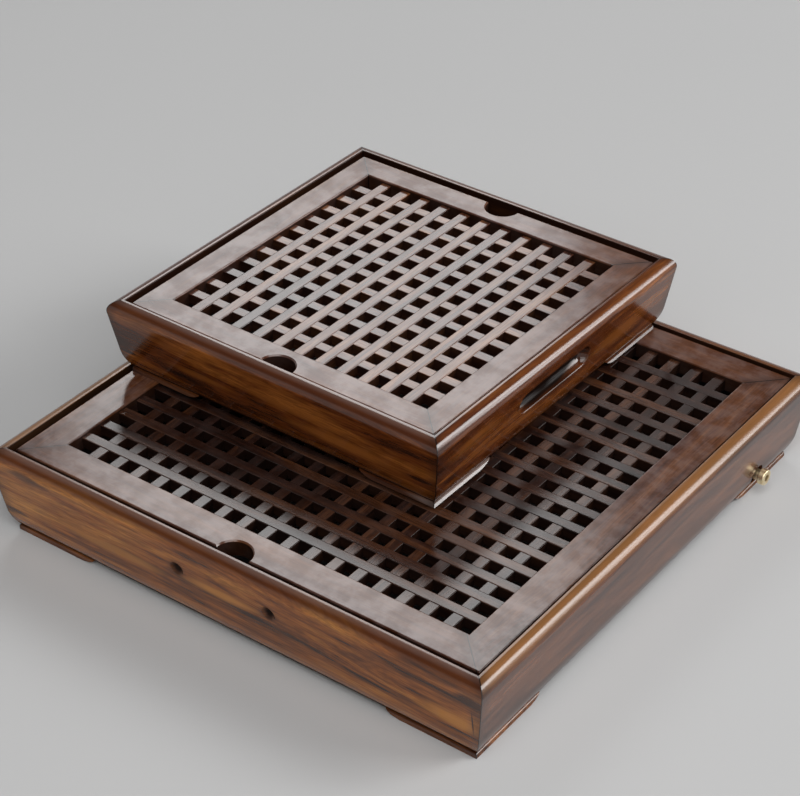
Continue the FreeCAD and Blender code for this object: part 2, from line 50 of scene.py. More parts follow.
# A golden colour laid over the rims of the large tray's side walls.
GOLDEN_RIM = (0.400, 0.185, 0.060)
# A pale colour painted on as a highlight, on the front rims' flat tops and along a foot's edge.
PALE_PAINTED_HIGHLIGHT = (0.210, 0.150, 0.130)
# Pale pinkish grey: the bloom's haze, partly a painted sheen.
BLOOM_AND_PAINTED_SHEEN = (0.360, 0.280, 0.270)


class Grain(Enum):
    """Which way the grain of a piece runs, in its own tray's directions."""

    ALONG_X = "x"
    ALONG_Y = "y"


class Side(Enum):
    """Which of two opposite walls a mark is on, by the sign of its place across the grain."""

    FRONT = -1.0
    RIGHT = 1.0


class Tint(Enum):
    """What a mark looks like: one of its board's tones, near black for a knot and for painted
    shade, or a pale painted highlight.
    """

    GOLDEN = "golden"
    DEEP = "deep"
    # Near black and stripped of lacquer: a knot's own colour, and painted shade in a hollow.
    BLACK_AND_PAINTED_SHADE = "black"
    # A pale painted highlight.
    PAINTED_HIGHLIGHT = "worn"


class Tray(Enum):
    """The two trays, with where each stands and how far it is turned."""

    LARGE = "large"
    SMALL = "small"

    @property
    def place(self) -> tuple[float, float, float]:
        """The middle of the tray's underside."""
        return SMALL_TRAY_AT if self is Tray.SMALL else (0.0, 0.0, 0.0)

    @property
    def turn(self) -> float:
        """The tray's turn about the vertical, in radians."""
        return SMALL_TRAY_TURN if self is Tray.SMALL else 0.0


class Graph:
    """The node tree of a material or a world, with short ways to add to it."""

    def __init__(self, owner: bpy.types.Material | bpy.types.World) -> None:
        """Empty the owner's tree and keep it.

        Args:
            owner: The material or the world to build.
        """
        owner.use_nodes = True
        self.tree = owner.node_tree
        self.tree.nodes.clear()

    def add(self, kind: str, inputs: dict[int | str, object] | None = None,
            **settings: object) -> bpy.types.Node:
        """Add a node.

        Args:
            kind: The node's type name, without "ShaderNode".
            inputs: A value or a socket for each input, by name or place.
            settings: The node's own properties.

        Returns:
            The new node.
        """
        node = self.tree.nodes.new("ShaderNode" + kind)
        for key, value in settings.items():
            setattr(node, key, value)
        for key, value in (inputs or {}).items():
            if isinstance(value, Socket):
                self.tree.links.new(value, node.inputs[key])
            else:
                node.inputs[key].default_value = value
        return node

    def calc(self, operation: str, *values: Value) -> Socket:
        """Add a Math node.

        Args:
            operation: The Math node's operation.
            values: One to three numbers or sockets.

        Returns:
            The result's socket.
        """
        return self.add("Math", dict(enumerate(values)), operation=operation).outputs[0]

    def remap(self, value: Value, start: float, end: float,
              low: float = 0.0, high: float = 1.0) -> Socket:
        """Ease a value from one range into another, held at its ends.

        Args:
            value: The value to read.
            start: The value that gives `low`.
            end: The value that gives `high`.
            low: The result at `start`.
            high: The result at `end`.

        Returns:
            The result's socket.
        """
        sockets = {"Value": value, "From Min": start, "From Max": end,
                   "To Min": low, "To Max": high}
        return self.add("MapRange", sockets, interpolation_type="SMOOTHSTEP").outputs["Result"]

    def noise(self, vector: Socket, scale: float, detail: float = 2.0, roughness: float = 0.5,
              distortion: float = 0.0) -> Socket:
        """Add a Noise Texture.

        Args:
            vector: The socket with the coordinates.
            scale: Features per metre.
            detail: Octaves.
            roughness: How much the fine octaves weigh.
            distortion: How far the pattern is pulled about.

        Returns:
            The noise's socket, from 0 to 1.
        """
        inputs = {"Vector": vector, "Scale": scale, "Detail": detail,
                  "Roughness": roughness, "Distortion": distortion}
        return self.add("TexNoise", inputs).outputs[0]

    def ramp(self, value: Value, stops: list[tuple[float, Colour]]) -> Socket:
        """Turn a value into a colour.

        Args:
            value: The value to read.
            stops: Places from 0 to 1, each with its colour.

        Returns:
            The colour's socket.
        """
        node = self.add("ValToRGB", {"Fac": value})
        elements = node.color_ramp.elements
        while len(elements) < len(stops):
            elements.new(1.0)
        for element, (place, colour) in zip(elements, stops):
            element.position = place
            element.color = (*colour, 1.0)
        return node.outputs["Color"]

    def mix(self, share: Value, first: Paint, second: Paint, blend: str = "MIX") -> Socket:
        """Mix two colours.

        Args:
            share: How much of the second.
            first: A colour or its socket.
            second: A colour or its socket.
            blend: The Mix node's blend type.

        Returns:
            The mixed colour's socket.
        """
        first, second = (
            paint if isinstance(paint, Socket) else (*paint, 1.0) for paint in (first, second))
        sockets = {0: share, 6: first, 7: second}
        return self.add("Mix", sockets, data_type="RGBA", blend_type=blend).outputs[2]

    def vector(self, x: Value, y: Value, z: Value) -> Socket:
        """Join three values into a vector."""
        return self.add("CombineXYZ", {"X": x, "Y": y, "Z": z}).outputs[0]

    def parts(self, vector: Socket) -> tuple[Socket, Socket, Socket]:
        """Part a vector into its X, Y and Z."""
        return tuple(self.add("SeparateXYZ", {0: vector}).outputs)

    def own_place(self, tray: Tray) -> tuple[Socket, Socket, Socket]:
        """Find where the point is on its tray.

        Args:
            tray: The tray that the piece belongs to.

        Returns:
            The point's X, Y and Z in the tray's own directions, from its underside.
        """
        point = self.add("TexCoord").outputs["Object"]
        sockets = {"Vector": point, "Location": tray.place, "Rotation": (0.0, 0.0, tray.turn)}
        return self.parts(self.add("Mapping", sockets, vector_type="TEXTURE").outputs[0])

    def finish(self, shader_inputs: dict[str, object], height: Socket | None = None,
               bump: float = 0.0, bump_depth: float = 0.1 * MM) -> None:
        """Close a material's tree with one Principled shader.

        Args:
            shader_inputs: The shader's own inputs.
            height: The relief's socket, if the surface has one.
            bump: How strongly the relief shows.
            bump_depth: How deep the relief is.
        """
        if height is not None:
            sockets = {"Strength": bump, "Distance": bump_depth, "Height": height}
            shader_inputs = shader_inputs | {"Normal": self.add("Bump", sockets).outputs[0]}
        shader = self.add("BsdfPrincipled", shader_inputs).outputs[0]
        self.add("OutputMaterial", {"Surface": shader})


@dataclass(frozen=True)
class Tones:
    """The three colours of one board, from its darkest streaks to its golden ones."""

    deep: Colour
    brown: Colour
    gold: Colour


@dataclass(frozen=True)
class WoodPoint:
    """A point of a board: its place in its tray's directions, and the figure there."""

    x: Socket
    y: Socket
    z: Socket
    along: Socket
    across: Socket
    tone: Socket
    streak: Socket
    fibre: Socket

    def aside(self, graph: Graph) -> tuple[Socket, Socket]:
        """Find how far the point is from the middle of its tray along X and along Y."""
        return graph.calc("ABSOLUTE", self.x), graph.calc("ABSOLUTE", self.y)


@dataclass
class Surface:
    """A board's surface while it is dressed: its colour, and how much lacquer is on it."""

    graph: Graph
    tones: Tones
    colour: Socket
    lacquer: Value = 1.0

    def paint(self, share: Value, colour: Colour) -> None:
        """Lay a share of a colour over the surface."""
        self.colour = self.graph.mix(share, self.colour, colour)

    def keep(self, share: Value) -> None:
        """Keep only a share of the lacquer."""
        self.lacquer = self.graph.calc("MULTIPLY", self.lacquer, share)

    def strip(self, share: Value, most: float) -> None:
        """Take lacquer away.

        Args:
            share: Where it goes, from 0 to 1.
            most: How much of it goes where the share is 1.
        """
        self.keep(self.graph.calc("MULTIPLY_ADD", share, -most, 1.0))


class Layer(ABC):
    """Something over the grown wood: a stain, a mark, painted shade or a painted highlight, a
    bloom with painted sheen, or a seam.
    """

    @abstractmethod
    def lay(self, surface: Surface, point: WoodPoint) -> None:
        """Lay it over the surface.

        Args:
            surface: The surface so far.
            point: The point of the board.
        """


@dataclass(frozen=True)
class Rim(Layer):
    """The rim's own colour, which eases in above a height."""

    above: float
    share: float
    tone: Colour = STAINED_RIM
    ease: float = 5.0 * MM

    def lay(self, surface: Surface, point: WoodPoint) -> None:
        """Colour the rim.

        Args:
            surface: The surface so far.
            point: The point of the board.
        """
        full = self.above + self.ease
        surface.paint(surface.graph.remap(point.z, self.above, full, 0.0, self.share), self.tone)


@dataclass(frozen=True)
class SurfaceMark(Layer):
    """A soft patch laid on a board: a golden or dark streak or a knot in its figure, painted
    shade in a hollow, or a pale painted highlight.

    Its middle is a place along the board and a height above the tray's underside. It fades out
    at its half length and half breadth, from `core` of the way there. All four are millimetres.
    `fray` is how far the fine streaks pull its edge about, and a black mark, which is a knot's
    colour and painted shade in a hollow, has lost `bare` of its lacquer.
    """

    side: Side
    along: float
    up: float
    half_length: float
    half_breadth: float
    strength: float
    tint: Tint = Tint.DEEP
    fray: float = 1.2
    core: float = 0.3
    bare: float = 0.9

    def lay(self, surface: Surface, point: WoodPoint) -> None:
        """Lay the mark.

        Args:
            surface: The surface so far.
            point: The point of the board.
        """
        share = self.share(surface.graph, point)
        surface.paint(share, {
            Tint.GOLDEN: surface.tones.gold, Tint.DEEP: surface.tones.deep,
            Tint.BLACK_AND_PAINTED_SHADE: STAIN_AND_PAINTED_SHADE, Tint.PAINTED_HIGHLIGHT: PALE_PAINTED_HIGHLIGHT,
        }[self.tint])
        # A black mark loses its lacquer too, so painted shade in a hollow shows no sheen.
        if self.tint is Tint.BLACK_AND_PAINTED_SHADE:
            surface.strip(share, self.bare)

    def share(self, graph: Graph, point: WoodPoint) -> Socket:
        """Find how much of the mark shows.

        Args:
            graph: The material's graph.
            point: The point of the board.

        Returns:
            The share's socket, from 0 to the mark's strength.
        """
        by_length = graph.calc("SUBTRACT", point.along, self.along * MM)
        by_length = graph.calc("DIVIDE", by_length, self.half_length * MM)
        by_breadth = graph.calc("SUBTRACT", point.z, self.up * MM)
        by_breadth = graph.calc("DIVIDE", by_breadth, self.half_breadth * MM)
        place = graph.vector(by_length, by_breadth, 0.0)
        far = graph.add("VectorMath", {0: place}, operation="LENGTH").outputs["Value"]
        fray = graph.calc("MULTIPLY_ADD", point.streak, self.fray, -self.fray / 2)
        share = graph.remap(graph.calc("ADD", far, fray), self.core, 1.0, self.strength, 0.0)
        out = graph.calc("MULTIPLY", point.across, self.side.value)
        return graph.calc("MULTIPLY", share, graph.calc("GREATER_THAN", out, ON_ONE_SIDE))


@dataclass(frozen=True)
class Cloud(Layer):
    """A bloom on old lacquer in patches, and a duller film between them; the pale haze on the
    patches, where the lacquer is glossiest, is partly painted sheen.
    """

    amount: float
    scale: float = 60.0
    clear_below: float = 0.34
    full_above: float = 0.66
    haze: float = 0.15
    dulling: float = 0.22

    def lay(self, surface: Surface, point: WoodPoint) -> None:
        """Cloud the lacquer.

        Args:
            surface: The surface so far.
            point: The point of the board.
        """
        graph = surface.graph
        place = graph.vector(point.x, point.y, point.z)
        patches = graph.noise(place, self.scale, detail=4.0, roughness=0.6)
        patch = graph.remap(patches, self.clear_below, self.full_above)
        # Pale haze on the glossiest patches: bloom, and painted sheen.
        surface.paint(graph.calc("MULTIPLY", patch, self.haze * self.amount), BLOOM_AND_PAINTED_SHEEN)
        dulling = self.dulling * self.amount
        surface.keep(graph.calc("MULTIPLY_ADD", patch, dulling, 1.0 - dulling))


@dataclass(frozen=True)
class PaintedShadeBelow(Layer):
    """Painted shade below a height, dark and bare of lacquer, on the edges under a lid's top and
    down the bars' sides.
    """

    height: float
    share: float = 0.8
    ease: float = 0.15 * MM

    def lay(self, surface: Surface, point: WoodPoint) -> None:
        """Paint the shade on the edges.

        Args:
            surface: The surface so far.
            point: The point of the board.
        """
        fade_from = self.height - self.ease
        share = surface.graph.remap(point.z, fade_from, self.height, self.share, 0.0)
        surface.paint(share, STAIN_AND_PAINTED_SHADE)
        surface.strip(share, 1.0)


@dataclass(frozen=True)
class PaintedShadeInside(Layer):
    """Painted shade on a tray's inner faces, dark and with little lacquer, and how far out those
    lie.
    """

    reach: float
    share: float = 0.9
    bare: float = 0.9
    ease: float = 0.6 * MM

    def lay(self, surface: Surface, point: WoodPoint) -> None:
        """Paint the shade on the inner faces.

        Args:
            surface: The surface so far.
            point: The point of the board.
        """
        graph = surface.graph
        out = graph.calc("MAXIMUM", *point.aside(graph))
        share = graph.remap(out, self.reach, self.reach + self.ease, self.share, 0.0)
        surface.paint(share, STAIN_AND_PAINTED_SHADE)
        surface.strip(share, self.bare)


@dataclass(frozen=True)
class Seam(Layer):
    """A mitre's glue line, and the stain that has gathered beside it, frayed by the streaks."""

    stain: float = 0.5
    stain_breadth: float = 12.0 * MM
    fray: float = 1.6
    least_fray: float = 0.2
    line: float = 0.9
    line_from: float = 0.25 * MM
    line_to: float = 0.75 * MM

    def lay(self, surface: Surface, point: WoodPoint) -> None:
        """Draw the seam.

        Args:
            surface: The surface so far.
            point: The point of the board.
        """
        graph = surface.graph
        gap = graph.calc("ABSOLUTE", graph.calc("SUBTRACT", *point.aside(graph)))
        fray = graph.calc("MULTIPLY_ADD", point.streak, self.fray, self.least_fray)
        frayed = graph.calc("MULTIPLY", gap, fray)
        stain = graph.remap(frayed, 0.0, self.stain_breadth, self.stain, 0.0)
        surface.paint(stain, surface.tones.deep)
        surface.paint(graph.remap(gap, self.line_from, self.line_to, self.line, 0.0), STAIN_AND_PAINTED_SHADE)


@dataclass(frozen=True)
class Figure:
    """How the figure of the wood is drawn.

    A scale counts features in a metre, and a squeeze makes them that much longer along the grain.
    A fibre darkens the wood by up to `fibre_dark` and lightens it by up to `fibre_light`. The
    bare wood is rough where the streaks' value is `rough_at` and smooth where it's `smooth_at`.
    """

    warp_scale: float = 14.0
    warp_squeeze: float = 0.16
    warp: float = 0.05
    tone_scale: float = 45.0
    tone_squeeze: float = 0.12
    tone_share: float = 0.60
    streak_scale: float = 230.0
    fibre_scale: float = 1100.0
    streak_squeeze: float = 0.06
    fibre_from: float = 0.34
    fibre_to: float = 0.64
    fibre_dark: float = 0.34
    fibre_light: float = 0.10
    rough_at: float = 0.3
    smooth_at: float = 0.7
    streak_height: float = 0.5
    fibre_height: float = 0.5

    def point(self, graph: Graph, tray: Tray, grain: Grain) -> WoodPoint:
        """Read the point's place and the figure there.

        Args:
            graph: The material's graph.
            tray: The tray that the board belongs to.
            grain: Which way its grain runs.

        Returns:
            The point of the board.
        """
        x, y, z = graph.own_place(tray)
        along, across = (x, y) if grain is Grain.ALONG_X else (y, x)
        start = graph.vector(graph.calc("MULTIPLY", along, self.warp_squeeze), across, z)
        warp = graph.noise(start, self.warp_scale)
        bend = graph.calc("MULTIPLY_ADD", warp, self.warp, -self.warp / 2)
        bent = graph.calc("ADD", across, bend), graph.calc("ADD", z, bend)
        slow = graph.vector(graph.calc("MULTIPLY", along, self.tone_squeeze), *bent)
        fast = graph.vector(graph.calc("MULTIPLY", along, self.streak_squeeze), *bent)
        return WoodPoint(
            x, y, z, along, across,
            tone=graph.noise(slow, self.tone_scale, detail=3.0, roughness=0.55, distortion=0.4),
            streak=graph.noise(fast, self.streak_scale, detail=3.0, roughness=0.6),
            fibre=graph.noise(fast, self.fibre_scale, roughness=0.6),
        )

    def mixed(self, graph: Graph, point: WoodPoint) -> Socket:
        """Mix the slow tone and the fine streaks."""
        streak = graph.calc("MULTIPLY", point.streak, 1.0 - self.tone_share)
        return graph.calc("MULTIPLY_ADD", point.tone, self.tone_share, streak)

    def fibres(self, graph: Graph, point: WoodPoint, contrast: float) -> Socket:
        """Find how light the fibres are.

        Args:
            graph: The material's graph.
            point: The point of the board.
            contrast: How strongly they show.

        Returns:
            The socket of what the wood's colour is multiplied by.
        """
        dark, light = 1.0 - self.fibre_dark * contrast, 1.0 + self.fibre_light * contrast
        fibre = graph.remap(point.fibre, self.fibre_from, self.fibre_to, dark, light)
        return graph.vector(fibre, fibre, fibre)

    def roughness(self, graph: Graph, point: WoodPoint, rough: float, smooth: float) -> Socket:
        """Find how rough the bare wood is.

        Args:
            graph: The material's graph.
            point: The point of the board.
            rough: The roughness between the streaks.
            smooth: The roughness on them.

        Returns:
            The roughness's socket.
        """
        return graph.remap(point.streak, self.rough_at, self.smooth_at, rough, smooth)

    def relief(self, graph: Graph, point: WoodPoint) -> Socket:
        """Find how high the open grain stands."""
        fibre = graph.calc("MULTIPLY", point.fibre, self.fibre_height)
        return graph.calc("MULTIPLY_ADD", point.streak, self.streak_height, fibre)


@dataclass(frozen=True)
class Film:
    """The film of satin lacquer, which isn't quite flat.

    `mottle` is how uneven it is, and `lean` is how far its relief falls away with height, as on a
    foot whose edge is worn round.
    """

    roughness: float
    mottle: float = 0.06
    lean: float = 0.0
    mottle_scale: float = 90.0
    mottle_depth: float = 0.4 * MM
    streak_share: float = 0.25
    refraction: float = 1.55

    def normal(self, graph: Graph, point: WoodPoint) -> Socket:
        """Shape the film.

        Args:
            graph: The material's graph.
            point: The point of the board.

        Returns:
            The socket of the film's normal.
        """
        mottle = graph.noise(graph.vector(point.x, point.y, point.z), self.mottle_scale)
        streak = graph.calc("MULTIPLY", point.streak, self.streak_share)
        height = graph.calc("ADD", mottle, streak)
        height = graph.calc("MULTIPLY", height, self.mottle * self.mottle_depth)
        height = graph.calc("MULTIPLY_ADD", point.z, -self.lean, height)
        sockets = {"Strength": 1.0, "Distance": 1.0, "Height": height}
        return graph.add("Bump", sockets).outputs[0]


@dataclass(frozen=True)
class WoodFinish:
    """Stained hardwood under a film of lacquer, with golden and dark streaks along the grain.

    The figure goes from the deep tone through the brown one, which is full at `brown_at`, to the
    golden one at `gold_at`. `bar_contrast` is how far the bars of a lattice differ.
    """

    name: str
    tray: Tray
    grain: Grain
    tones: Tones
    film: Film
    layers: tuple[Layer, ...]
    figure: Figure = Figure()
    contrast: float = 1.0
    bar_contrast: float = 0.0
    brown_at: float = 0.47
    gold_at: float = 0.62
    deep_to_brown: float = 0.12
    usual_over_brown: float = 0.02
    rough: float = 0.62
    smooth: float = 0.48
    relief: float = 0.35
    relief_depth: float = 0.12 * MM

    def build(self) -> bpy.types.Material:
        """Make the material.

        Returns:
            The new material.
        """
        material = bpy.data.materials.new(self.name)
        graph = Graph(material)
        point = self.figure.point(graph, self.tray, self.grain)
        surface = Surface(graph, self.tones, self.grown(graph, point))
        for layer in self.layers:
            layer.lay(surface, point)
        graph.finish(
            {
                "Base Color": surface.colour,
                "Roughness": self.figure.roughness(graph, point, self.rough, self.smooth),
                "Specular IOR Level": 0.0,
                "Coat Weight": surface.lacquer,
                "Coat Roughness": self.film.roughness,
                "Coat IOR": self.film.refraction,
                "Coat Normal": self.film.normal(graph, point),
            },
            self.figure.relief(graph, point), self.relief, self.relief_depth,
        )
        return material

    def grown(self, graph: Graph, point: WoodPoint) -> Socket:
        """Colour the wood as it grew, before anything is laid over it.

        Args:
            graph: The material's graph.
            point: The point of the board.

        Returns:
            The colour's socket.
        """
        usual = (1.0 - self.contrast) * (self.brown_at + self.usual_over_brown)
        value = self.figure.mixed(graph, point)
        value = graph.calc("MULTIPLY_ADD", value, self.contrast, usual)
        if self.bar_contrast:
            value = graph.calc("ADD", value, self.bar_tone(graph, point))
        colour = graph.ramp(value, [
            (self.brown_at - self.deep_to_brown, self.tones.deep),
            (self.brown_at, self.tones.brown),
            (self.gold_at, self.tones.gold),
        ])
        fibres = self.figure.fibres(graph, point, self.contrast)
        return graph.mix(1.0, colour, fibres, "MULTIPLY")

    def bar_tone(self, graph: Graph, point: WoodPoint) -> Socket:
        """Find how much lighter or darker a bar is than its neighbours.

        Args:
            graph: The material's graph.
            point: The point of the bar.

        Returns:
            The socket of what is added to the bar's figure.
        """
        number = graph.calc("FLOOR", graph.calc("DIVIDE", point.across, LATTICE_PITCH))
        chance = graph.add("TexWhiteNoise", {"W": number}, noise_dimensions="1D").outputs[0]
        return graph.calc("MULTIPLY_ADD", chance, self.bar_contrast, -self.bar_contrast / 2)


@dataclass(frozen=True)
class BoardFinish:
    """Thin unlacquered board, for the panel under each tray.

    A scale counts features in a metre, and a squeeze makes them that much longer along X.
    """

    name: str
    dark: Colour = (0.11, 0.055, 0.028)
    light: Colour = (0.26, 0.15, 0.08)
    tone_scale: float = 40.0
    tone_squeeze: float = 0.1
    fibre_scale: float = 420.0
    fibre_squeeze: float = 0.05

    def build(self) -> bpy.types.Material:
        """Make the material.

        Returns:
            The new material.
        """
        material = bpy.data.materials.new(self.name)
        graph = Graph(material)
        x, y, z = graph.own_place(Tray.LARGE)
        fast = graph.vector(graph.calc("MULTIPLY", x, self.fibre_squeeze), y, z)
        slow = graph.vector(graph.calc("MULTIPLY", x, self.tone_squeeze), y, z)
        fibre = graph.noise(fast, self.fibre_scale, detail=3.0, roughness=0.6)
        tone = graph.noise(slow, self.tone_scale)
        value = graph.calc("MULTIPLY_ADD", tone, 0.5, graph.calc("MULTIPLY", fibre, 0.5))
        colour = graph.ramp(value, [(0.3, self.dark), (0.7, self.light)])
        graph.finish({"Base Color": colour, "Roughness": 0.7, "IOR": 1.45}, fibre, 0.4)
        return material


@dataclass(frozen=True)
class PlainFinish:
    """Metal, plastic or rubber, with fine wear in its colour, its roughness and its surface.

    Where the wear's value is `dark_at` it's dark and rough, and it's light and smooth above
    `light_at` and `smooth_at`.
    """

    name: str
    light: Colour
    dark: Colour
    smooth: float
    rough: float
    metallic: float = 0.0
    scale: float = 120.0
    relief: float = 0.1
    relief_depth: float = 0.05 * MM
    grain_to_wear: float = 18.0
    dark_at: float = 0.35
    light_at: float = 0.62
    smooth_at: float = 0.65

    def build(self) -> bpy.types.Material:
        """Make the material.

        Returns:
            The new material.
        """
        material = bpy.data.materials.new(self.name)
        graph = Graph(material)
        point = graph.add("TexCoord").outputs["Object"]
        wear = graph.noise(point, self.scale, detail=4.0, roughness=0.6)
        grain = graph.noise(point, self.scale * self.grain_to_wear)
        colour = graph.ramp(wear, [(self.dark_at, self.dark), (self.light_at, self.light)])
        roughness = graph.remap(wear, self.dark_at, self.smooth_at, self.rough, self.smooth)
        inputs = {"Base Color": colour, "Roughness": roughness, "Metallic": self.metallic}
        graph.finish(inputs, grain, self.relief, self.relief_depth)
        return material


@dataclass(frozen=True)
class FloorFinish:
    """The studio's smooth pale paper."""

    name: str = "studio_paper"
    tone: float = 0.54
    dark_tone: float = 0.5346
    scale: float = 3.0

    def build(self) -> bpy.types.Material:
        """Make the material.

        Returns:
            The new material.
        """
        material = bpy.data.materials.new(self.name)
        graph = Graph(material)
        speck = graph.noise(graph.add("TexCoord").outputs["Object"], self.scale)
        colour = graph.ramp(speck, [(0.3, (self.dark_tone,) * 3), (0.7, (self.tone,) * 3)])
        graph.finish({"Base Color": colour, "Roughness": 0.9, "Specular IOR Level": 0.1})
        return material


Finish = WoodFinish | BoardFinish | PlainFinish


def dress(names: list[str], finish: Finish) -> None:
    """Give CAD nodes a finish.

    Args:
        names: The nodes' names.
        finish: The finish, whose material is built once for all of them.
    """
    material = finish.build()
    for name in names:
        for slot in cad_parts[name].material_slots:
            slot.material = material
        log.info("dressed %s in %s", name, finish.name)


LARGE_FRONT_TONES = Tones((0.036, 0.010, 0.004), (0.300, 0.086, 0.012), (0.540, 0.215, 0.036))
LARGE_SIDE_TONES = Tones((0.024, 0.009, 0.005), (0.074, 0.023, 0.010), (0.170, 0.060, 0.025))
SMALL_FRONT_TONES = Tones((0.026, 0.008, 0.004), (0.140, 0.034, 0.007), (0.330, 0.105, 0.020))
SMALL_SIDE_TONES = Tones((0.022, 0.007, 0.004), (0.112, 0.028, 0.007), (0.270, 0.088, 0.018))
SMALL_FOOT_TONES = Tones((0.018, 0.006, 0.004), (0.070, 0.020, 0.008), (0.140, 0.045, 0.014))
LARGE_FOOT_TONES = Tones((0.032, 0.010, 0.005), (0.130, 0.042, 0.014), (0.300, 0.110, 0.036))
SMALL_LID_TONES = Tones((0.030, 0.010, 0.006), (0.085, 0.026, 0.012), (0.220, 0.085, 0.030))
LARGE_RAIL_TONES = Tones((0.026, 0.009, 0.005), (0.070, 0.022, 0.010), (0.190, 0.072, 0.026))
# Dark wood, darkened further as painted shade for the shade that the small tray casts on the
# large lattice.
LARGE_BAR_TONES_AND_SHADE = Tones((0.007, 0.003, 0.002), (0.022, 0.007, 0.004), (0.090, 0.032, 0.012))

LARGE_FRONT_MARKS = (
    SurfaceMark(Side.FRONT, 0.0, 39.0, 40.0, 5.5, 0.85, Tint.GOLDEN),
    SurfaceMark(Side.FRONT, 178.0, 30.0, 32.0, 8.0, 0.8, Tint.GOLDEN),
    SurfaceMark(Side.FRONT, -94.0, 31.0, 55.0, 6.0, 0.6, Tint.GOLDEN),
    SurfaceMark(Side.FRONT, -165.0, 59.0, 24.0, 5.0, 0.7),
    SurfaceMark(Side.FRONT, -187.0, 20.0, 16.0, 3.5, 0.8),
    SurfaceMark(Side.FRONT, 190.0, 55.0, 14.0, 6.0, 0.8),
    SurfaceMark(Side.FRONT, 181.0, 22.0, 12.0, 1.0, 0.9, fray=0.3),
    SurfaceMark(Side.FRONT, 191.5, 35.0, 1.0, 14.0, 0.9, fray=0.3),
    SurfaceMark(Side.FRONT, 62.0, 42.0, 7.0, 4.0, 0.4),
    # The two knots: a dark halo each, and black in their hollows, which is the knots' own colour
    # and painted shade.
    SurfaceMark(Side.FRONT, -37.5, 43.3, 10.0, 9.0, 0.6, fray=0.5),
    SurfaceMark(Side.FRONT, -37.5, 43.6, 6.6, 7.4, 0.95, Tint.BLACK_AND_PAINTED_SHADE, 0.2),
    SurfaceMark(Side.FRONT, 37.5, 43.0, 10.0, 8.0, 0.7, fray=0.6),
    SurfaceMark(Side.FRONT, 37.5, 43.3, 5.5, 7.0, 0.95, Tint.BLACK_AND_PAINTED_SHADE, 0.3),
    # Painted highlight: a pale band along the front rim's flat top.
    SurfaceMark(Side.FRONT, 0.0, 69.5, 900.0, 2.8, 0.35, Tint.PAINTED_HIGHLIGHT, 0.5),
)
SMALL_FRONT_MARKS = (
    SurfaceMark(Side.FRONT, 62.0, 24.0, 60.0, 6.0, 0.8, Tint.GOLDEN),
    SurfaceMark(Side.FRONT, 20.0, 35.0, 50.0, 5.0, 0.5, Tint.GOLDEN),
    SurfaceMark(Side.FRONT, -60.0, 27.0, 40.0, 4.0, 0.5, Tint.GOLDEN),
    SurfaceMark(Side.FRONT, -128.0, 20.0, 12.0, 2.5, 0.9),
    SurfaceMark(Side.FRONT, 124.0, 23.0, 13.0, 2.5, 0.9),
    # Painted highlight: a pale band along the front rim's flat top.
    SurfaceMark(Side.FRONT, 0.0, 59.8, 900.0, 2.8, 0.35, Tint.PAINTED_HIGHLIGHT, 0.5),
)
SMALL_RIGHT_MARKS = (
    SurfaceMark(Side.RIGHT, 70.0, 30.0, 40.0, 9.0, 0.55, Tint.GOLDEN),
    SurfaceMark(Side.RIGHT, -95.0, 38.0, 40.0, 8.0, 0.45, Tint.GOLDEN),
    SurfaceMark(Side.RIGHT, -122.0, 20.0, 12.0, 3.0, 0.8),
    # Painted shade: the finger recess darkened and stripped of most of its lacquer.
    SurfaceMark(Side.RIGHT, -24.0, 35.0, 30.0, 11.0, 1.0, Tint.BLACK_AND_PAINTED_SHADE, 0.1, 0.65),
    SurfaceMark(Side.RIGHT, 0.0, 35.0, 34.0, 11.0, 1.0, Tint.BLACK_AND_PAINTED_SHADE, 0.1, 0.65),
)
# Painted highlight: a pale line along the small front foot's top edge, by its right corner.
SMALL_FOOT_HIGHLIGHT_MARKS = (SurfaceMark(Side.FRONT, 133.0, 2.4, 30.0, 3.4, 0.9, Tint.PAINTED_HIGHLIGHT, 0.2),)


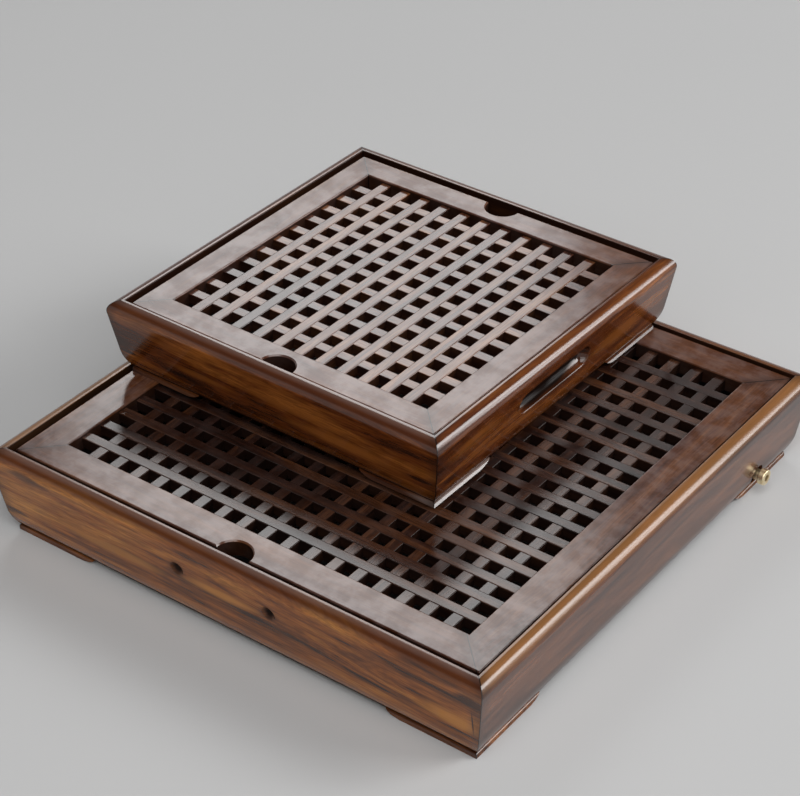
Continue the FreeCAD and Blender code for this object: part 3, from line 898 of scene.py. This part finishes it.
@dataclass
class TrayBox:
    """A tray without its lid: four walls and four feet.

    `height` and `rim_depth` are those of the walls, and `inner_reach` is how far out from the
    tray's middle their inner faces lie, in millimetres; the painted shade inside reaches that
    far. `sheen` is the roughness of the walls' lacquer, and `foot_lean` is how round the feet's
    edges are worn.
    """

    tray: Tray
    height: float
    inner_reach: float
    front_tones: Tones
    side_tones: Tones
    foot_tones: Tones
    side_rim: Colour
    side_rim_share: float
    sheen: float
    foot_lean: float
    front_marks: tuple[SurfaceMark, ...] = ()
    side_marks: tuple[SurfaceMark, ...] = ()
    foot_highlight_marks: tuple[SurfaceMark, ...] = ()
    front_rim_share: float = 0.85
    rim_depth: float = 7.0
    foot_sheen: float = 0.16
    foot_relief: float = 0.05

    def build(self) -> None:
        """Dress every wooden node of the box."""
        above = (self.height - self.rim_depth) * MM
        front_rim = Rim(above, self.front_rim_share)
        self.dress_walls(
            ("front", "back"), Grain.ALONG_X, self.front_tones, front_rim, self.front_marks)
        side_rim = Rim(above, self.side_rim_share, self.side_rim)
        self.dress_walls(
            ("left", "right"), Grain.ALONG_Y, self.side_tones, side_rim, self.side_marks)
        name = self.tray.value
        corners = ("front_left", "front_right", "back_left", "back_right")
        dress([f"{name}_{corner}_foot" for corner in corners], WoodFinish(
            f"{name}_foot_wood", self.tray, Grain.ALONG_X, self.foot_tones,
            Film(self.foot_sheen, 0.0, self.foot_lean), (*self.foot_highlight_marks, Seam()),
            relief=self.foot_relief,
        ))

    def dress_walls(self, sides: tuple[str, str], grain: Grain, tones: Tones, rim: Rim,
                    marks: tuple[SurfaceMark, ...]) -> None:
        """Dress two opposite walls.

        Args:
            sides: Which two.
            grain: Which way their grain runs.
            tones: The colours of their wood.
            rim: The colour of their rims.
            marks: The marks in their figure.
        """
        name = self.tray.value
        dress([f"{name}_{side}_wall" for side in sides], WoodFinish(
            f"{name}_wall_wood_{grain.value}", self.tray, grain, tones, Film(self.sheen),
            # Painted shade on the inner faces, under the lid.
            (rim, *marks, PaintedShadeInside(self.inner_reach * MM), Seam()),
        ))


@dataclass
class LatticeLid:
    """A lid: four mitred rails round a lattice of lapped bars.

    `top` is the lid's height above the tray's underside. `rail_edge`, `long_edge` and
    `cross_edge` are how far below it the painted shade on the edges of the rails and of the two
    layers of bars begins. All are millimetres. `bar_sheen` is the roughness of the bars' lacquer.
    """

    tray: Tray
    top: float
    rail_tones: Tones
    bar_tones: Tones
    bar_sheen: float
    long_grain: Grain
    cross_grain: Grain
    front_contrast: float = 0.5
    side_contrast: float = 0.5
    bar_contrast: float = 0.06
    gold_at: float = 0.68
    rail_sheen: float = 0.16
    rail_mottle: float = 0.10
    rail_relief: float = 0.15
    rail_cloud: float = 1.0
    bar_cloud: float = 0.25
    rail_edge: float = 1.2
    long_edge: float = 3.0
    cross_edge: float = 3.05

    def build(self) -> None:
        """Dress every node of the lid."""
        self.dress_rails(("front", "back"), Grain.ALONG_X, self.front_contrast)
        self.dress_rails(("left", "right"), Grain.ALONG_Y, self.side_contrast)
        self.dress_bars("long", self.long_grain, self.long_edge)
        self.dress_bars("cross", self.cross_grain, self.cross_edge)

    def dress_rails(self, sides: tuple[str, str], grain: Grain, contrast: float) -> None:
        """Dress two opposite rails.

        Args:
            sides: Which two.
            grain: Which way their grain runs.
            contrast: How strongly their figure shows.
        """
        name = self.tray.value
        # Painted shade on the rails' inner edges, under the lid's top.
        edges = PaintedShadeBelow((self.top - self.rail_edge) * MM)
        dress([f"{name}_lid_{side}_rail" for side in sides], WoodFinish(
            f"{name}_rail_wood_{grain.value}", self.tray, grain, self.rail_tones,
            Film(self.rail_sheen, self.rail_mottle), (Cloud(self.rail_cloud), edges, Seam()),
            contrast=contrast, gold_at=self.gold_at, relief=self.rail_relief,
        ))

    def dress_bars(self, layer: str, grain: Grain, edge: float) -> None:
        """Dress one layer of bars.

        Args:
            layer: The layer's name.
            grain: Which way its bars run.
            edge: How far below the lid's top the painted shade on their sides begins.
        """
        name = self.tray.value
        # Painted shade on the bars' sides, below their tops.
        dress([f"{name}_lid_{layer}_bars"], WoodFinish(
            f"{name}_bar_wood_{grain.value}", self.tray, grain, self.bar_tones,
            Film(self.bar_sheen), (Cloud(self.bar_cloud), PaintedShadeBelow((self.top - edge) * MM)),
            bar_contrast=self.bar_contrast, gold_at=self.gold_at,
        ))


@dataclass
class Fittings:
    """What isn't wood, and the plain panels under the trays."""

    pans: PlainFinish = PlainFinish(
        "black_pan_plastic", (0.032, 0.030, 0.029), (0.018, 0.017, 0.017), 0.42, 0.6, scale=60.0)
    brass: PlainFinish = PlainFinish(
        "turned_brass", (0.95, 0.82, 0.56), (0.74, 0.58, 0.32), 0.26, 0.42, 1.0, 260.0, 0.05)
    steel: PlainFinish = PlainFinish(
        "plated_steel", (0.60, 0.59, 0.56), (0.36, 0.35, 0.33), 0.28, 0.5, 1.0, 300.0, 0.05)
    rubber: PlainFinish = PlainFinish(
        "black_rubber", (0.022, 0.022, 0.022), (0.012, 0.012, 0.012), 0.7, 0.85)
    panels: BoardFinish = BoardFinish("plain_board")

    def build(self) -> None:
        """Dress every fitting."""
        dress(["large_water_pan", "small_water_pan"], self.pans)
        dress(["large_drain_nozzle", "large_drain_nut"], self.brass)
        dress(["large_drain_washer"], self.rubber)
        dress(["large_foot_screws", "small_foot_screws"], self.steel)
        dress(["large_bottom_panel", "small_bottom_panel"], self.panels)


@dataclass(frozen=True)
class SoftBox:
    """A soft lamp that faces the tea table.

    Its bearing is in degrees from the back, clockwise as seen from above. Its half width and
    half height are angles, in degrees as seen from the tea table.
    """

    name: str
    bearing: float
    elevation: float
    distance: float
    half_across: float
    half_up: float
    radiance: float

    def build(self) -> None:
        """Hang the lamp."""
        data = bpy.data.lights.new(self.name, "AREA")
        data.shape = "RECTANGLE"
        data.size = 2.0 * self.distance * math.tan(math.radians(self.half_across))
        data.size_y = 2.0 * self.distance * math.tan(math.radians(self.half_up))
        data.energy = self.radiance * math.pi * data.size * data.size_y
        lamp = bpy.data.objects.new(self.name, data)
        bpy.context.scene.collection.objects.link(lamp)
        bearing, elevation = math.radians(self.bearing), math.radians(self.elevation)
        level = math.cos(elevation)
        away = Vector((math.sin(bearing) * level, math.cos(bearing) * level, math.sin(elevation)))
        lamp.location = away * self.distance
        lamp.rotation_mode = "QUATERNION"
        lamp.rotation_quaternion = away.to_track_quat("Z", "Y")
        log.info("hung %s", self.name)


@dataclass
class Studio:
    """The floor, the lamps, the world and the camera.

    The world lights everything with `world_tone`. Seen directly or in a reflection it shows
    `shown_tone`, which goes over to the darker tone between two heights in the sky.
    """

    floor_half: float = 4.5
    world_tone: float = 0.08
    shown_tone: float = 0.54
    backdrop_top: float = 0.25
    ceiling: float = 0.50
    lamps: tuple[SoftBox, ...] = (
        SoftBox("right_ceiling_box", 135.0, 62.0, 6.0, 23.0, 14.0, 3.7),
        SoftBox("back_right_box", 56.0, 30.0, 6.0, 16.0, 10.0, 9.2),
        SoftBox("low_right_box", 44.0, 10.0, 6.0, 6.0, 8.0, 7.0),
        SoftBox("back_left_panel", -40.0, 38.4, 6.0, 8.0, 10.2, 4.6),
        SoftBox("front_right_box", 148.0, 38.0, 6.0, 30.0, 10.0, 1.95),
    )
    camera_at: tuple[float, float, float] = (0.75248, -1.01205, 0.95754)
    camera_right: tuple[float, float, float] = (0.8028164, 0.5961767, -0.0076920)
    camera_up: tuple[float, float, float] = (-0.3356758, 0.4626108, 0.8205565)
    focal_pixels: float = 2275.05
    image_width: float = 800.0
    sensor_width: float = 36.0
    nearest: float = 0.05
    farthest: float = 50.0

    def build(self) -> None:
        """Set the stage."""
        self.floor()
        self.world()
        for lamp in self.lamps:
            lamp.build()
        self.camera()
        bpy.context.scene.view_settings.view_transform = "Standard"

    def floor(self) -> None:
        """Lay the floor under the feet."""
        bpy.ops.mesh.primitive_plane_add(size=2.0 * self.floor_half)
        floor = bpy.context.object
        floor.name = "studio_floor"
        floor.data.materials.append(FloorFinish().build())

    def world(self) -> None:
        """Light everything evenly, and show a pale backdrop under a dark ceiling."""
        world = bpy.data.worlds.new("studio_world")
        bpy.context.scene.world = world
        graph = Graph(world)
        path = graph.add("LightPath").outputs
        seen = graph.calc("MAXIMUM", path["Is Camera Ray"], path["Is Glossy Ray"])
        seen = graph.calc("MAXIMUM", seen, path["Is Transmission Ray"])
        up = graph.parts(graph.add("TexCoord").outputs["Generated"])[2]
        low = graph.remap(up, self.backdrop_top, self.ceiling, 1.0, 0.0)
        colour = graph.mix(
            graph.calc("MULTIPLY", seen, low), (self.world_tone,) * 3, (self.shown_tone,) * 3)
        background = graph.add("Background", {"Color": colour}).outputs[0]
        graph.add("OutputWorld", {"Surface": background})

    def camera(self) -> None:
        """Put the camera where the photograph was taken from."""
        data = bpy.data.cameras.new("studio_camera")
        data.sensor_width = self.sensor_width
        data.lens = self.focal_pixels / self.image_width * self.sensor_width
        data.clip_start, data.clip_end = self.nearest, self.farthest
        camera = bpy.data.objects.new("studio_camera", data)
        bpy.context.scene.collection.objects.link(camera)
        right, up = Vector(self.camera_right), Vector(self.camera_up)
        turn = Matrix((right, up, right.cross(up))).transposed().to_4x4()
        camera.matrix_world = Matrix.Translation(self.camera_at) @ turn
        bpy.context.scene.camera = camera


def main() -> None:
    """Dress the tea table and set the stage."""
    logging.basicConfig(level=logging.INFO, format="%(name)s: %(message)s")
    for part in (
        TrayBox(
            Tray.LARGE, height=68.5, inner_reach=191.0, front_tones=LARGE_FRONT_TONES,
            side_tones=LARGE_SIDE_TONES, foot_tones=LARGE_FOOT_TONES, side_rim=GOLDEN_RIM,
            side_rim_share=0.42, sheen=0.20, foot_lean=0.35, front_marks=LARGE_FRONT_MARKS,
        ),
        LatticeLid(
            Tray.LARGE, top=66.3, rail_tones=LARGE_RAIL_TONES, bar_tones=LARGE_BAR_TONES_AND_SHADE,
            bar_sheen=0.22, long_grain=Grain.ALONG_X, cross_grain=Grain.ALONG_Y,
            side_contrast=0.8,
        ),
        TrayBox(
            Tray.SMALL, height=58.8, inner_reach=131.75, front_tones=SMALL_FRONT_TONES,
            side_tones=SMALL_SIDE_TONES, foot_tones=SMALL_FOOT_TONES, side_rim=STAINED_RIM,
            side_rim_share=0.5, sheen=0.14, foot_lean=0.86, front_marks=SMALL_FRONT_MARKS,
            side_marks=SMALL_RIGHT_MARKS, foot_highlight_marks=SMALL_FOOT_HIGHLIGHT_MARKS,
        ),
        LatticeLid(
            Tray.SMALL, top=56.6, rail_tones=SMALL_LID_TONES, bar_tones=SMALL_LID_TONES,
            bar_sheen=0.16, long_grain=Grain.ALONG_Y, cross_grain=Grain.ALONG_X,
        ),
        Fittings(),
        Studio(),
    ):
        part.build()
        log.info("built %s", type(part).__name__)


if __name__ == "__main__":
    main()
